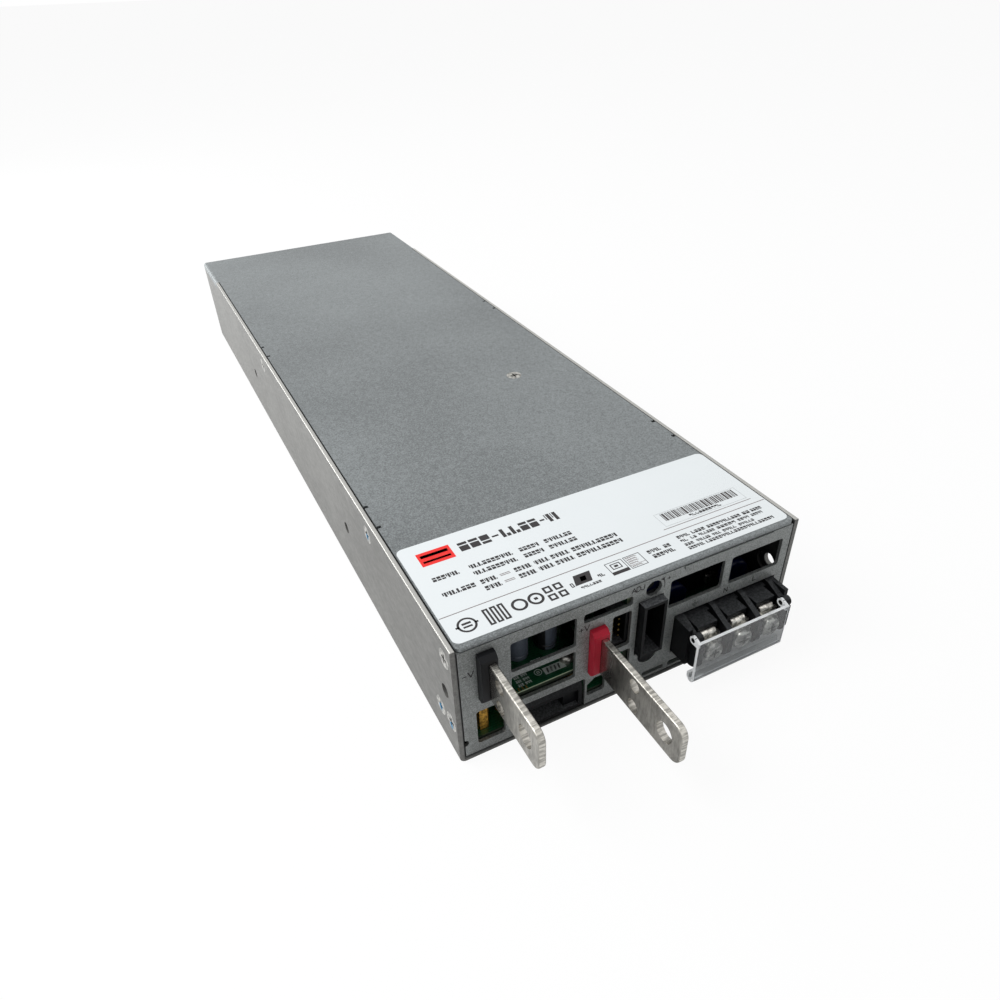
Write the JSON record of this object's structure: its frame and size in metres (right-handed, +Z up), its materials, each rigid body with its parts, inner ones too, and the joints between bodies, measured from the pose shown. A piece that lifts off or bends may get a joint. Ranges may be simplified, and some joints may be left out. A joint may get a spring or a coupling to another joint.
{
  "type": "enclosed power supply",
  "caption": "Low-profile enclosed AC to DC power supply in a flat metal case with output blades, a covered screw terminal block, signal connectors and rear fans.",
  "frame": {"origin": "on the underside of the case, at mid-width and mid-length of the case", "axes": "+Z up, -Y out of the terminal panel (the output blades point along -Y), +X to the right seen from the front"},
  "size_m": [0.107, 0.3636, 0.0411],
  "materials": {
    "chassis": "brushed",
    "top_cover": "satin zinc-coated sheet",
    "front_panel": "satin zinc-coated sheet",
    "rear_panel": "satin zinc-coated sheet",
    "flush_screws": "zinc plated",
    "mounting_nuts": "zinc plated",
    "rating_label": "satin film",
    "negative_blade": "bright tin-plated copper",
    "positive_blade": "bright tin-plated copper",
    "negative_insulator": "satin moulded",
    "positive_insulator": "satin moulded",
    "main_board": "solder mask",
    "board_spacers": "zinc plated",
    "insulating_film": "milky film",
    "brass_standoffs": "machined",
    "board_screws": "zinc plated",
    "upper_board": "solder mask",
    "control_board": "solder mask",
    "signal_header": "matt moulded",
    "signal_pins": "gold flash",
    "tall_receptacle": "matt moulded",
    "tall_contacts": "gold flash",
    "low_receptacle": "matt moulded",
    "trimmer_body": "satin moulded",
    "trimmer_rotor": "white moulded",
    "terminal_block": "matt moulded",
    "terminal_contacts": "tin-plated brass",
    "terminal_washers": "zinc plated",
    "terminal_screw_earth": "zinc plated",
    "terminal_screw_neutral": "zinc plated",
    "terminal_screw_line": "zinc plated",
    "terminal_cover": "clear polycarbonate",
    "fan_frame_left": "matt moulded",
    "fan_frame_right": "matt moulded",
    "fan_impeller_left": "matt moulded",
    "fan_impeller_right": "matt moulded",
    "fan_screws": "zinc plated",
    "output_capacitors": "sleeved",
    "bulk_capacitors": "sleeved",
    "transformer_cores": "ferrite",
    "transformer_windings": "taped copper",
    "boost_choke_cores": "ferrite",
    "boost_choke_windings": "enamelled copper",
    "filter_choke_cores": "coated ferrite",
    "filter_choke_windings": "enamelled copper",
    "film_capacitors": "boxed",
    "disc_capacitors": "lacquered",
    "inrush_relay": "matt moulded",
    "fuse_tube": "glazed",
    "fuse_caps": "nickel",
    "heatsinks": "brushed",
    "power_transistors": "matt moulded",
    "bridge_rectifiers": "matt moulded"
  },
  "bodies": {
    "enclosure": {"chassis": "chassis", "top_cover": "top_cover", "front_panel": "front_panel", "rear_panel": "rear_panel", "flush_screws": "flush_screws", "mounting_nuts": "mounting_nuts", "rating_label": "rating_label", "negative_blade": "negative_blade", "positive_blade": "positive_blade", "negative_insulator": "negative_insulator", "positive_insulator": "positive_insulator", "main_board": "main_board", "board_spacers": "board_spacers", "insulating_film": "insulating_film", "brass_standoffs": "brass_standoffs", "board_screws": "board_screws", "upper_board": "upper_board", "control_board": "control_board", "signal_header": "signal_header", "signal_pins": "signal_pins", "tall_receptacle": "tall_receptacle", "tall_contacts": "tall_contacts", "low_receptacle": "low_receptacle", "trimmer_body": "trimmer_body", "terminal_block": "terminal_block", "terminal_contacts": "terminal_contacts", "terminal_washers": "terminal_washers", "fan_frame_left": "fan_frame_left", "fan_frame_right": "fan_frame_right", "fan_screws": "fan_screws", "output_capacitors": "output_capacitors", "bulk_capacitors": "bulk_capacitors", "transformer_cores": "transformer_cores", "transformer_windings": "transformer_windings", "boost_choke_cores": "boost_choke_cores", "boost_choke_windings": "boost_choke_windings", "filter_choke_cores": "filter_choke_cores", "filter_choke_windings": "filter_choke_windings", "film_capacitors": "film_capacitors", "disc_capacitors": "disc_capacitors", "inrush_relay": "inrush_relay", "fuse_tube": "fuse_tube", "fuse_caps": "fuse_caps", "heatsinks": "heatsinks", "power_transistors": "power_transistors", "bridge_rectifiers": "bridge_rectifiers"},
    "fan_left": {"fan_impeller_left": "fan_impeller_left"},
    "fan_right": {"fan_impeller_right": "fan_impeller_right"},
    "terminal_flap": {"terminal_cover": "terminal_cover"},
    "trimmer": {"trimmer_rotor": "trimmer_rotor"},
    "earth_screw": {"terminal_screw_earth": "terminal_screw_earth"},
    "neutral_screw": {"terminal_screw_neutral": "terminal_screw_neutral"},
    "line_screw": {"terminal_screw_line": "terminal_screw_line"}
  },
  "joints": [
    {"name": "fan_left_spin", "type": "hinge", "parent": "enclosure", "child": "fan_left", "pos_m": [-0.021, 0.1471, 0.02075], "axis": [0, 1, 0], "continuous": true},
    {"name": "fan_right_spin", "type": "hinge", "parent": "enclosure", "child": "fan_right", "pos_m": [0.021, 0.1471, 0.02075], "axis": [0, 1, 0], "continuous": true},
    {"name": "terminal_cover_hinge", "type": "hinge", "parent": "enclosure", "child": "terminal_flap", "pos_m": [0.0309, -0.1707, 0.0193], "axis": [-1, 0, 0], "range_deg": [0, 100]},
    {"name": "trimmer_turn", "type": "hinge", "parent": "enclosure", "child": "trimmer", "pos_m": [0.0045, -0.1603, 0.036], "axis": [0, -1, 0], "range_deg": [-135, 135]},
    {"name": "earth_screw_turn", "type": "hinge", "parent": "enclosure", "child": "earth_screw", "pos_m": [0.0205, -0.1699, 0.0126], "axis": [0, -1, 0], "continuous": true},
    {"name": "neutral_screw_turn", "type": "hinge", "parent": "enclosure", "child": "neutral_screw", "pos_m": [0.0309, -0.1699, 0.0126], "axis": [0, -1, 0], "continuous": true},
    {"name": "line_screw_turn", "type": "hinge", "parent": "enclosure", "child": "line_screw", "pos_m": [0.0413, -0.1699, 0.0126], "axis": [0, -1, 0], "continuous": true}
  ]
}
